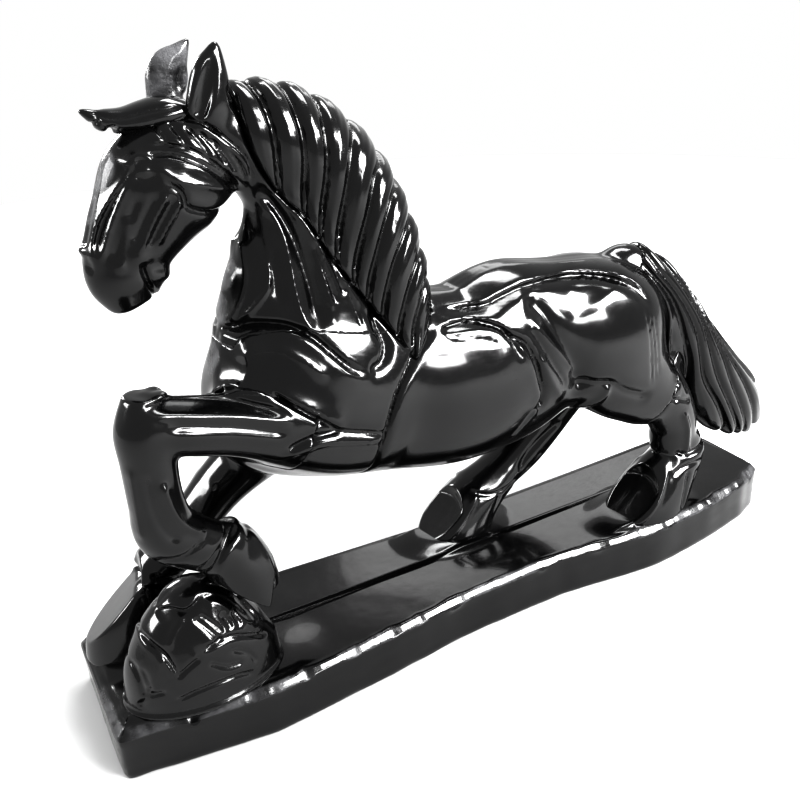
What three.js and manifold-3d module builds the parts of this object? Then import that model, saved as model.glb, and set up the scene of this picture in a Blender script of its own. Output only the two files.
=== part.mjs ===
// A prancing horse carved in black stone on a long, rough-edged slab, held together by hidden steel pins.
// Millimetres. +Z is up, the head points to -X and the horse's left side faces -Y.
// The origin is the middle of the slab's underside.
import * as THREE from 'three';
import { mergeVertices } from 'three/addons/utils/BufferGeometryUtils.js';
import Module from 'manifold-3d';

const wasm = await Module();
wasm.setup();

// ---------- driving dimensions ----------
const horseLength = 254; // chest to tail tip
const horseHeight = 206; // slab top to ear tips
const bodyWidth = 51; // across the barrel
const slabThickness = 20;
const slabOverhangFront = 4; // slab past the leading hoof
const slabOverhangRear = 40; // slab past the rear hoof
const slabFootInset = 1.5; // the slab's foot, in from its side
const slabBevel = 1.5; // broken edge round the slab's top
const figureOffset = -6; // the horse's middle plane, across the slab
const glueGap = 0.3; // joint between two stone blocks
const pinRadius = 1.8;
const pinLength = 18;
const pinClearance = 0.3; // all round a pin in its hole
const pinEndRoom = 1; // past each end of a pin
const pinSides = 12;
const ringSides = 14;
const ringSteps = 2; // rings from one station to the next

// The stations below were drawn for a horse of these sizes, and are stretched to the driving ones.
const drawnLength = 254;
const drawnHeight = 206;
const drawnWidth = 51;
const stretchX = horseLength / drawnLength;
const stretchY = bodyWidth / drawnWidth;
const stretchZ = horseHeight / drawnHeight;

// ---------- stations: [x, y, z, half width, half depth], z from the slab's top, y from the middle plane ----------
const barrel = [
  [-97, 0, 104, 7, 8], [-92, 0, 102, 15, 19], [-80, 0, 97, 21, 29], [-58, 0, 91, 24, 33],
  [-32, 0, 86, 25, 34], [-5, 0, 81, 25.5, 35], [20, 0, 84, 25.5, 37], [42, 0, 86, 25, 31],
  [62, 0, 86, 25, 28], [80, 0, 84, 22, 25], [93, 0, 81, 15, 18], [99, 0, 80, 6, 8],
];
const neck = [
  [-58, 0, 98, 22, 36], [-57, 0, 120, 19, 34], [-54, 0, 138, 16.5, 30.5], [-55, 0, 155, 14.5, 27],
  [-62, 0, 169, 13, 21], [-74, 0, 178, 12, 16], [-86, 0, 181, 10, 10],
];
const head = [
  [-82, 0, 177, 10, 12], [-93, 0, 173, 12.5, 16.5], [-102, 0, 167, 13, 18], [-109, 0, 159, 11, 15.5],
  [-115, 0, 150, 8.5, 12.5], [-116.5, 0, 142, 8, 11.5], [-115, 0, 135, 5, 7],
];
const leftEar = [
  [-86, -7, 182, 4, 4], [-85.5, -8, 190, 4.5, 4.5], [-84, -8, 198, 3.5, 4], [-82, -8, 205, 1, 1.2],
];
const rightEar = [
  [-92, 7, 182, 4, 4], [-91.5, 8, 190, 4.5, 6.5], [-89.5, 8, 198, 4, 5.5], [-86, 8, 205, 1, 1.2],
];
const forelock = [
  [-96, 0, 184, 7, 6], [-104, 0, 185, 7, 7], [-112, 0, 185.5, 4.5, 5], [-121, 0, 188, 1.5, 2],
];
const mane = [
  [-80, -2, 185, 7, 7], [-66, -3, 179, 12, 12], [-53, -4, 169, 14, 13.5], [-43, -5, 154, 15, 14.5],
  [-37, -6, 137, 15.5, 14.5], [-33, -7, 120, 14, 13], [-31, -9, 103, 8, 7],
];
const shoulder = [
  [-86, -8, 110, 10, 10], [-72, -10, 104, 13, 17], [-56, -12, 96, 14, 21], [-42, -12, 92, 12, 19],
];
const leftForearm = [
  [-42, -10, 80, 12, 16], [-58, -14, 83, 13, 17], [-78, -16, 89, 11.5, 13.5], [-96, -17, 95, 10, 10.5],
  [-112, -18, 100, 9.5, 9.5], [-124, -18, 104, 8, 9],
];
const leftCannon = [
  [-122, -18, 113, 6, 6], [-123, -18, 102, 9, 9.5], [-124, -18, 90, 8, 8.5], [-124, -18, 77, 8, 8.5],
  [-122, -17, 65, 9, 10], [-112, -17, 56, 8.5, 9], [-104, -16, 51, 10, 10], [-99, -16, 43, 11, 10.5],
  [-94, -16, 33, 9, 8], [-91, -16, 25, 3, 3.5],
];
const rightForearm = [
  [-58, 8, 80, 12, 15], [-78, 12, 69, 11, 12], [-94, 16, 56, 9.5, 9.5], [-106, 17, 41, 8.5, 8.5],
  [-117, 18, 28, 9, 9], [-127, 19, 19, 9.5, 9], [-134, 19, 12, 11.5, 12], [-137, 19, 0, 13, 13], [-138, 19, -8, 13, 13],
];
const leftThigh = [
  [50, -8, 100, 13, 18], [57, -12, 86, 14, 24], [66, -14, 71, 13, 22], [78, -15, 59, 11.5, 17],
  [89, -16, 51, 10, 13], [96, -16, 40, 9.5, 11], [98, -16, 30, 9, 11], [102, -16, 21, 9.5, 12],
  [93, -17, 10, 12, 16], [84, -18, 0, 14, 19], [80, -18, -10, 14, 19],
];
const hock = [[92, -15, 52, 5, 7], [95, -14, 64, 4.5, 5], [97, -13, 74, 1.5, 2]];
const rightThigh = [
  [56, 8, 96, 13, 20], [62, 11, 80, 13, 20], [66, 13, 62, 11, 15], [56, 15, 45, 10, 11],
  [42, 16, 30, 9.5, 10], [27, 16, 20, 9.5, 9.5], [13, 16, 10, 12, 13], [6, 16, 0, 13.5, 17], [3, 16, -9, 13.5, 17],
];
const tail = [
  [66, 0, 108, 5, 5], [77, -1, 110, 8, 8], [90, -5, 101, 9, 10], [101, -8, 86, 10, 12],
  [111, -11, 68, 11, 14], [122, -13, 50, 11, 16], [136, -14, 34, 9, 14], [148, -14, 22, 4, 6],
];
const rock = [
  [-118, -13, -4, 17, 28], [-118, -13, 12, 16.5, 27], [-117, -13, 25, 15, 21], [-115, -13, 35, 10, 13],
  [-114, -13, 41, 5, 6],
];

const leadingHoof = -149;
const rearHoof = 112;

// The slab's edges as drawn: [share of the way from end to end, y], near side then far side.
const nearEdge = [
  [0, -31], [0.17, -39], [0.33, -36], [0.46, -33], [0.6, -33], [0.7, -38], [0.76, -40], [0.85, -38],
  [0.94, -34], [1, -27],
];
const farEdge = [[1, 8], [0.97, 16], [0.93, 21], [0.74, 20], [0.48, 20], [0.26, 25], [0.08, 29], [0, 28]];

// ---------- shapes ----------
// A point drawn in the horse's own frame, placed on the slab.
function place([x, y, z]) {
  return [x * stretchX, y * stretchY + figureOffset, z * stretchZ + slabThickness];
}

// Rows of numbers between the stations, on a Catmull-Rom curve through them.
function refine(stations, steps) {
  const rows = [];
  const last = stations.length - 1;
  for (let i = 0; i < last; i++) {
    const [p, q, r, s] = [i - 1, i, i + 1, i + 2].map((k) => stations[Math.min(Math.max(k, 0), last)]);
    for (let j = 0; j < steps; j++) {
      const t = j / steps;
      rows.push(q.map((value, k) => 0.5 * (2 * value + (r[k] - p[k]) * t
        + (2 * p[k] - 5 * value + 4 * r[k] - s[k]) * t * t
        + (3 * value - p[k] - 3 * r[k] + s[k]) * t * t * t)));
    }
  }
  rows.push(stations[last]);
  return rows;
}

// A closed solid from points and triangles, turned the right way out.
function solidOf(points, faces) {
  let volume = 0;
  for (const [a, b, c] of faces) {
    volume += points[a].dot(new THREE.Vector3().crossVectors(points[b], points[c]));
  }
  const turned = volume < 0 ? faces.map(([a, b, c]) => [a, c, b]) : faces;
  const vertProperties = new Float32Array(points.flatMap((p) => [p.x, p.y, p.z]));
  const triVerts = new Uint32Array(turned.flat());
  return new wasm.Manifold(new wasm.Mesh({ numProp: 3, vertProperties, triVerts }));
}

// Rings joined into a skin, with a fan over each end.
function skin(rings) {
  const sides = rings[0].length;
  const points = rings.flat();
  const faces = [];
  for (let i = 0; i < rings.length - 1; i++) {
    for (let k = 0; k < sides; k++) {
      const a = i * sides + k;
      const b = i * sides + (k + 1) % sides;
      faces.push([a, b, b + sides], [a, b + sides, a + sides]);
    }
  }
  for (const [ring, flip] of [[0, true], [rings.length - 1, false]]) {
    const centre = points.length;
    points.push(rings[ring].reduce((sum, p) => sum.add(p), new THREE.Vector3()).divideScalar(sides));
    for (let k = 0; k < sides; k++) {
      const a = ring * sides + k;
      const b = ring * sides + (k + 1) % sides;
      faces.push(flip ? [centre, b, a] : [centre, a, b]);
    }
  }
  return solidOf(points, faces);
}

// Elliptical rings carried along a path of stations, each ring square to the path. Grown, it leaves room
// for a neighbour all round and past both ends.
function loft(stations, grow = 0) {
  const rows = refine(stations, ringSteps);
  const centres = rows.map((row) => new THREE.Vector3(...place(row)));
  const rings = rows.map((row, i) => {
    const ahead = centres[Math.min(i + 1, rows.length - 1)];
    const behind = centres[Math.max(i - 1, 0)];
    const along = ahead.clone().sub(behind).normalize();
    const across = new THREE.Vector3(0, 1, 0).addScaledVector(along, -along.y).normalize();
    const deep = new THREE.Vector3().crossVectors(along, across);
    const depthStretch = Math.hypot(deep.x * stretchX, deep.z * stretchZ);
    const endShift = i === 0 ? -grow : (i === rows.length - 1 ? grow : 0);
    const centre = centres[i].clone().addScaledVector(along, endShift);
    const ring = [];
    for (let k = 0; k < ringSides; k++) {
      const angle = 2 * Math.PI * k / ringSides;
      ring.push(centre.clone()
        .addScaledVector(across, Math.cos(angle) * (row[3] * stretchY + grow))
        .addScaledVector(deep, Math.sin(angle) * (row[4] * depthStretch + grow)));
    }
    return ring;
  });
  return skin(rings);
}

function join(...solids) {
  return solids.reduce((whole, solid) => whole.add(solid));
}

function carve(solid, ...tools) {
  return tools.reduce((rest, tool) => rest.subtract(tool), solid);
}

// The part of a solid on the side of a plane that its normal points to, standing back from the plane.
function side(solid, { point, along }, back = glueGap / 2) {
  const n = new THREE.Vector3(...along).normalize();
  const offset = n.dot(new THREE.Vector3(...place(point))) + back;
  return solid.trimByPlane([n.x, n.y, n.z], offset);
}

// The same joint seen from the other block.
function facingBack({ point, along }) {
  return { point, along: along.map((value) => -value) };
}

// The part of a block that stands above the slab.
function standing(solid) {
  return solid.trimByPlane([0, 0, 1], slabThickness + glueGap);
}

// A round bar centred on a joint.
function bar({ point, along }, radius, length) {
  const blank = new THREE.CylinderGeometry(radius, radius, length, pinSides);
  blank.deleteAttribute('normal');
  blank.deleteAttribute('uv');
  const shape = mergeVertices(blank);
  shape.applyQuaternion(new THREE.Quaternion().setFromUnitVectors(
    new THREE.Vector3(0, 1, 0), new THREE.Vector3(...along).normalize()));
  shape.translate(...place(point));
  return new wasm.Manifold(new wasm.Mesh({
    numProp: 3,
    vertProperties: new Float32Array(shape.attributes.position.array),
    triVerts: new Uint32Array(shape.index.array),
  }));
}

function pinAt(joint) {
  return bar(joint, pinRadius, pinLength);
}

function holesAt(...names) {
  return names.map((name) => bar(joints[name], pinRadius + pinClearance, pinLength + 2 * pinEndRoom));
}

// ---------- joints: the middle of each one, and the way it faces ----------
const joints = {
  neck_pin_front: { point: [-76, 0, 114.4], along: [0.14, 0, 0.99] },
  neck_pin_rear: { point: [-58, 0, 112], along: [0.14, 0, 0.99] },
  tail_pin: { point: [80, -1.5, 108], along: [0.9, -0.2, -0.35] },
  left_foreleg_pin: { point: [-74, -16, 88], along: [-0.93, 0, 0.35] },
  right_foreleg_pin: { point: [-76, 11.5, 70], along: [-0.76, 0.14, -0.62] },
  left_hind_leg_pin: { point: [84, -15.5, 55], along: [0.8, 0, -0.6] },
  right_hind_leg_pin: { point: [61, 14, 54], along: [-0.75, 0, -0.66] },
  right_fore_hoof_pin: { point: [-136, 19, 0], along: [0, 0, -1] },
  left_hind_hoof_pin: { point: [86, -17, 0], along: [0, 0, -1] },
  right_hind_hoof_pin: { point: [8, 16, 0], along: [0, 0, -1] },
  raised_hoof_pin: { point: [-101, -15, 34], along: [-0.8, 0, -0.6] },
  mane_pin_upper: { point: [-61, -3, 158], along: [0.6, 0, 0.8] },
  mane_pin_lower: { point: [-51, -5, 133], along: [0.97, 0, 0.25] },
  rock_pin_front: { point: [-128, -14, 0], along: [0, 0, -1] },
  rock_pin_rear: { point: [-106, -12, 0], along: [0, 0, -1] },
};

// What grows out of the trunk, and the joint where it is a block of its own.
const limbs = {
  neck: { stations: neck, joint: joints.neck_pin_front },
  tail: { stations: tail, joint: joints.tail_pin },
  leftForeleg: { stations: leftForearm, joint: joints.left_foreleg_pin },
  rightForeleg: { stations: rightForearm, joint: joints.right_foreleg_pin },
  leftHindLeg: { stations: leftThigh, joint: joints.left_hind_leg_pin },
  rightHindLeg: { stations: rightThigh, joint: joints.right_hind_leg_pin },
};

// The limb past its joint, its root inside the trunk, and the room that the trunk leaves for it.
function beyond({ stations, joint }) {
  return side(loft(stations), joint);
}

function rootOf({ stations, joint }) {
  return side(loft(stations), facingBack(joint));
}

function roomFor({ stations, joint }) {
  return side(loft(stations, glueGap), joint, -glueGap / 2);
}

// ---------- the slab ----------
function slab() {
  const front = place([leadingHoof, 0, 0])[0] - slabOverhangFront;
  const rear = place([rearHoof, 0, 0])[0] + slabOverhangRear;
  const outline = [...nearEdge, ...farEdge].map(([share, y]) => [front + share * (rear - front), y * stretchY]);
  const middle = (front + rear) / 2;
  const ringAt = (z, inset) => outline.map(([x, y]) => new THREE.Vector3(
    x - inset * (x - middle) / (rear - middle), y - Math.sign(y) * inset, z));
  const block = skin([
    ringAt(0, slabFootInset), ringAt(slabThickness / 3, 0),
    ringAt(slabThickness - slabBevel, 0), ringAt(slabThickness, slabBevel),
  ]);
  return carve(block, ...holesAt('right_fore_hoof_pin', 'left_hind_hoof_pin', 'right_hind_hoof_pin',
    'rock_pin_front', 'rock_pin_rear'));
}

// ---------- the stone blocks ----------
function trunk() {
  const whole = join(loft(barrel), loft(shoulder), ...Object.values(limbs).map(rootOf));
  return carve(whole, loft(mane, glueGap), loft(hock, glueGap),
    ...Object.values(limbs).map(roomFor), ...Object.values(limbs).map(beyond),
    ...holesAt('neck_pin_front', 'neck_pin_rear', 'tail_pin', 'left_foreleg_pin', 'right_foreleg_pin',
      'left_hind_leg_pin', 'right_hind_leg_pin'));
}

function neckAndHead() {
  const whole = join(beyond(limbs.neck), loft(head), loft(leftEar), loft(rightEar));
  return carve(whole, loft(mane, glueGap),
    ...holesAt('neck_pin_front', 'neck_pin_rear', 'mane_pin_upper', 'mane_pin_lower'));
}

function leftForeleg() {
  return carve(join(beyond(limbs.leftForeleg), loft(leftCannon)),
    ...holesAt('left_foreleg_pin', 'raised_hoof_pin'));
}

function rightForeleg() {
  return carve(standing(beyond(limbs.rightForeleg)), ...holesAt('right_foreleg_pin', 'right_fore_hoof_pin'));
}

function leftHindLeg() {
  return carve(standing(join(beyond(limbs.leftHindLeg), loft(hock))),
    ...holesAt('left_hind_leg_pin', 'left_hind_hoof_pin'));
}

function rightHindLeg() {
  return carve(standing(beyond(limbs.rightHindLeg)), ...holesAt('right_hind_leg_pin', 'right_hind_hoof_pin'));
}

function rockMound() {
  return carve(standing(loft(rock)), loft(leftCannon, glueGap), loft(rightForearm, glueGap),
    ...holesAt('rock_pin_front', 'rock_pin_rear', 'raised_hoof_pin'));
}

function forelockTuft() {
  const neighbours = [head, neck, leftEar, rightEar, mane];
  return carve(loft(forelock), ...neighbours.map((stations) => loft(stations, glueGap)));
}

function maneCrest() {
  return carve(loft(mane), ...holesAt('mane_pin_upper', 'mane_pin_lower'));
}

function tailFall() {
  return carve(beyond(limbs.tail), loft(leftThigh, glueGap), loft(hock, glueGap), ...holesAt('tail_pin'));
}

// ---------- the figurine ----------
const stone = { color: 0x0c0d0f, roughness: 0.12, metalness: 0 };
const steel = { color: 0x9a9da1, roughness: 0.35, metalness: 1 };

function meshOf(name, solid, look) {
  const { vertProperties, triVerts } = solid.getMesh();
  const geometry = new THREE.BufferGeometry();
  geometry.setAttribute('position', new THREE.BufferAttribute(vertProperties, 3));
  geometry.setIndex(new THREE.BufferAttribute(triVerts, 1));
  geometry.computeVertexNormals();
  const mesh = new THREE.Mesh(geometry, new THREE.MeshStandardMaterial(look));
  mesh.name = name;
  return mesh;
}

const blocks = {
  base_slab: slab(),
  rock_mound: rockMound(),
  trunk: trunk(),
  neck_and_head: neckAndHead(),
  forelock: forelockTuft(),
  mane: maneCrest(),
  tail: tailFall(),
  left_foreleg: leftForeleg(),
  right_foreleg: rightForeleg(),
  left_hind_leg: leftHindLeg(),
  right_hind_leg: rightHindLeg(),
};

const group = new THREE.Group();
for (const [name, solid] of Object.entries(blocks)) {
  group.add(meshOf(name, solid, stone));
}
for (const [name, joint] of Object.entries(joints)) {
  group.add(meshOf(name, pinAt(joint), steel));
}

export default group;
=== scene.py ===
import math
import bpy
import numpy as np
import openvdb as vdb
from mathutils import Matrix, Vector


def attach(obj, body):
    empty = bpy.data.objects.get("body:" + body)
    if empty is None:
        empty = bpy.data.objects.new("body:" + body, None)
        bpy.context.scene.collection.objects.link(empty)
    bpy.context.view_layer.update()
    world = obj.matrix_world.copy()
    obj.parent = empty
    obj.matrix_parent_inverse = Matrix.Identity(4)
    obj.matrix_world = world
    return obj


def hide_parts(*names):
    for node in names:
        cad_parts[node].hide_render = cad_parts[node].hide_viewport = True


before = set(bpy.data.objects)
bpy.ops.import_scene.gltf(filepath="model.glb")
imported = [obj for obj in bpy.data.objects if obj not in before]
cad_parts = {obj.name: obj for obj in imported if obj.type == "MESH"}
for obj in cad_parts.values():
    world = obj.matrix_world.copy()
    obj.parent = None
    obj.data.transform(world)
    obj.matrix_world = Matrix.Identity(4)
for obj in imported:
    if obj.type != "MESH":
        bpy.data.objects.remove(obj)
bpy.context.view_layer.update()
print("frame loaded:", len(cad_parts), "nodes")

# Shapes are worked out in millimetres in the horse's own frame: x towards the tail, y from the middle plane
# (its left side is negative), z from the slab's top. place puts them in the frame of the part, in metres.
figure = {
    "offset": (0, -6, 20),
    "seam": 0.25,  # how far blocks run into each other, so that their polished joints don't show
    "sunk": 0.2,  # how far hooves and rock go into the slab
    "reach": 9.0,  # how far from a surface its distances are worked out
    "coarser": 1.0,
}


def place(points):
    return (np.asarray(points, float) + figure["offset"]) * 0.001


def spline(rows, steps):
    # Catmull-Rom: between two rows, a cubic through both, whose slope at each row is half the step
    # from the row before it to the row after it
    rows = np.asarray(rows, float)
    padded = np.vstack([rows[:1], rows, rows[-1:]])
    p, q, r, s = (padded[i:len(padded) - 3 + i][:, None, :] for i in range(4))
    t = (np.arange(steps) / steps)[None, :, None]
    bend = (2 * p - 5 * q + 4 * r - s) * t ** 2 + (3 * q - p - 3 * r + s) * t ** 3
    curve = 0.5 * (2 * q + (r - p) * t + bend)
    return np.vstack([curve.reshape(-1, rows.shape[1]), rows[-1:]])


def unit(vectors):
    return vectors / np.linalg.norm(vectors, axis=-1, keepdims=True)


def tubeFaces(rings, sides):
    # Quads round and along a grid of rings, with a fan of triangles over each end
    i, k = np.meshgrid(np.arange(rings - 1), np.arange(sides), indexing="ij")
    a, b = i * sides + k, i * sides + (k + 1) % sides
    quads = np.stack([a, a + sides, b + sides, b], -1).reshape(-1, 4)
    k = np.arange(sides)
    after = (k + 1) % sides
    start = np.stack([np.full(sides, rings * sides), k, after], -1)
    last = (rings - 1) * sides
    end = np.stack([np.full(sides, rings * sides + 1), last + after, last + k], -1)
    return quads, np.vstack([start, end])


def loft(stations, steps=14, sides=80):
    # Rows of x, y, z, half width, half depth. Point (i, angle) of the skin is
    # centre + across * width * cos + deep * depth * sin, on a ring square to the path
    rows = spline(stations, steps)
    centres = rows[:, :3]
    along = unit(np.gradient(centres, axis=0))
    across = unit(np.array([0, 1, 0]) - along * along[:, 1:2])
    deep = np.cross(along, across)
    angle = np.linspace(0, 2 * np.pi, sides, endpoint=False)
    grid = (centres[:, None] + across[:, None] * (rows[:, 3:4] * np.cos(angle))[..., None]
            + deep[:, None] * (rows[:, 4:5] * np.sin(angle))[..., None])
    points = np.vstack([grid.reshape(-1, 3), centres[:1], centres[-1:]])
    return points, *tubeFaces(len(rows), sides)


def mirrored(stations):
    return np.array(stations, float) * (1, -1, 1, 1, 1)


def cellBox(low, high, size):
    # A box of cells: the number of its first cell, its cell size, and its three axes ready to broadcast
    size = size * figure["coarser"]
    first = np.floor(np.array(low) / size).astype(int)
    last = np.ceil(np.array(high) / size).astype(int)
    x, y, z = (np.arange(a, b, dtype=np.float32) * size for a, b in zip(first, last))
    return {"first": first, "shape": last - first, "size": size,
            "x": x[:, None, None], "y": y[None, :, None], "z": z[None, None, :]}


def window(box, low, high):
    # The cells of a box between two corners, as a smaller box, and the slices that take them out
    start = np.clip(np.floor(np.array(low) / box["size"]).astype(int) - box["first"], 0, box["shape"])
    stop = np.clip(np.ceil(np.array(high) / box["size"]).astype(int) - box["first"], 0, box["shape"])
    i, j, k = (slice(a, b) for a, b in zip(start, stop))
    part = {"first": box["first"] + start, "shape": stop - start, "size": box["size"],
            "x": box["x"][i], "y": box["y"][:, j], "z": box["z"][:, :, k]}
    return part, (i, j, k)


def distance(surface, box):
    # Signed distance to a closed surface in every cell, negative inside, no larger than the reach
    points, quads, triangles = surface
    transform = vdb.createLinearTransform(voxelSize=box["size"])
    grid = vdb.FloatGrid.createLevelSetFromPolygons(
        points.astype(np.float32), triangles=triangles.astype(np.uint32), quads=quads.astype(np.uint32),
        transform=transform, halfWidth=figure["reach"] / box["size"])
    values = np.empty(tuple(box["shape"]), np.float32)
    grid.copyToArray(values, ijk=tuple(int(n) for n in box["first"]))
    return values


def melt(a, b, radius):
    # Union of two distances with a fillet: min(a, b) less a quarter of the radius where they are equal
    near = np.clip((figure["reach"] - np.maximum(a, b)) * 0.5, 0, 1)
    overlap = np.maximum(radius - np.abs(a - b), 0) / radius
    return np.minimum(a, b) - near * overlap * overlap * (radius * 0.25)


def emptyField(box):
    return np.full(tuple(box["shape"]), figure["reach"], np.float32)


def addSurface(values, box, surface, radius):
    # Melts one closed surface into a field, worked out only in the cells near it
    low, high = surface[0].min(0), surface[0].max(0)
    near, cells = window(box, low - figure["reach"], high + figure["reach"])
    if near["shape"].min() > 1:
        values[cells] = melt(values[cells], distance(surface, near), radius)
    return values


def soften(values, passes):
    # Each pass takes a quarter of both neighbours and half of the cell, along each axis in turn
    for _ in range(int(math.ceil(passes / figure["coarser"] ** 2))):
        for axis in range(3):
            v = np.moveaxis(values, axis, 0)
            v[1:-1] = 0.5 * v[1:-1] + 0.25 * (v[:-2] + v[2:])
    return values


def surfaceOf(values, box):
    # The skin where the distance is nought, as points and quads that face out
    grid = vdb.FloatGrid(float(values.max()))
    grid.copyFromArray(np.ascontiguousarray(values, np.float32), ijk=tuple(int(n) for n in box["first"]))
    grid.transform = vdb.createLinearTransform(voxelSize=box["size"])
    grid.gridClass = vdb.GridClass.LEVEL_SET
    points, quads = grid.convertToQuads()
    return points.astype(float), quads[:, ::-1].astype(np.int64)


def lineDistance(u, v, curve):
    # Distance from (u, v) to a line of points, how far along the line the nearest point is, and the
    # same distance again, positive to the left of the line and negative to its right
    best = np.full(np.broadcast(u, v).shape, 1e9, np.float32)
    share = np.zeros_like(best)
    left = np.zeros_like(best)
    lengths = np.concatenate([[0], np.cumsum(np.linalg.norm(np.diff(curve, axis=0), axis=1))])
    for (ax, ay), (bx, by), start, end in zip(curve[:-1], curve[1:], lengths[:-1], lengths[1:]):
        dx, dy = bx - ax, by - ay
        t = np.clip(((u - ax) * dx + (v - ay) * dy) / (dx * dx + dy * dy), 0, 1)
        gap = np.hypot(u - ax - t * dx, v - ay - t * dy)
        nearer = gap < best
        best = np.where(nearer, gap, best)
        share = np.where(nearer, (start + t * (end - start)) / lengths[-1], share)
        turn = dx * (v - ay) - dy * (u - ax)
        left = np.where(nearer, np.where(turn > 0, gap, -gap), left)
    return best, share, left


def smoothStep(value, low, high):
    t = np.clip((value - low) / (high - low), 0, 1)
    return t * t * (3 - 2 * t)


def sideMask(box, side, middle, edge):
    # 1 on the chosen side of a middle plane and 0 on the other, turning over between the two edge distances
    across = box["y"] - middle
    across = {"left": -across, "right": across, "both": np.abs(across)}[side]
    return smoothStep(across, *edge)


def carve(values, box, strokes, middle=0.0, edge=(1, 5)):
    # A stroke is its depth, width, bank, points (x, z) and, if it isn't on both, its side. It adds
    # depth * exp(-(distance / width) ^ 1.5) and takes off a bank on its left, or its right if negative,
    # that is steep at the line and fades in about 5 widths
    for depth, width, bank, path, *side in strokes:
        curve = spline(path, 6)
        spread = width * (14 if bank else 4)
        low, high = curve.min(0) - spread, curve.max(0) + spread
        near, cells = window(box, (low[0], -99, low[1]), (high[0], 99, high[1]))
        if near["shape"].min() < 2:
            continue
        gap, share, left = lineDistance(near["x"], near["z"], curve)
        fade = smoothStep(np.minimum(share, 1 - share), 0, 0.15)
        change = depth * np.exp(-(gap / width) ** 1.5)
        if bank:
            onSide = np.where(left * np.sign(bank) > 0, gap, 0)
            change = change - abs(bank) * smoothStep(onSide, 0, 1.5 * width) * np.exp(-onSide / (4 * width))
        values[cells] += (change * fade) * sideMask(near, side[0] if side else "both", middle, edge)
    return values


def swell(values, box, bumps):
    # A bump is its height and its centre and radii: it takes off height * exp(-(scaled distance ^ 2))
    for height, centre, radii in bumps:
        reach = np.array(radii) * 2.4
        near, cells = window(box, np.array(centre) - reach, np.array(centre) + reach)
        if near["shape"].min() > 1:
            x, y, z = ((near[axis] - c) / r for axis, c, r in zip("xyz", centre, radii))
            values[cells] -= height * np.exp(-(x * x + y * y + z * z))
    return values


facets = [  # planed faces: a point, the way it faces, and how far from the point it goes
    ((-100, -16, 33), (-0.63, 0, -0.777), 17),
    ((-140, 17, 17.2), (-0.64, 0.24, 0.73), 17),
    ((71.5, -18, 6), (-0.66, -0.1, 0.745), 14),
    ((-6, 16, 6), (-0.66, -0.1, 0.745), 14),
    ((-120.4, 0, 168.3), (-0.936, 0, 0.35), 15),
]


def plane(values, box):
    # Cuts each facet flat; past its reach the cut rises away from the stone at 45 degrees
    for point, facing, reach in facets:
        low, high = np.array(point) - 1.6 * reach, np.array(point) + 1.6 * reach
        near, cells = window(box, low, high)
        if near["shape"].min() > 1:
            n = unit(np.array(facing, float))
            x, y, z = (near[axis] - p for axis, p in zip("xyz", point))
            gap = np.sqrt(x * x + y * y + z * z)
            cut = x * n[0] + y * n[1] + z * n[2] - np.maximum(gap - reach, 0)
            values[cells] = np.maximum(values[cells], cut)
    return values


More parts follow.
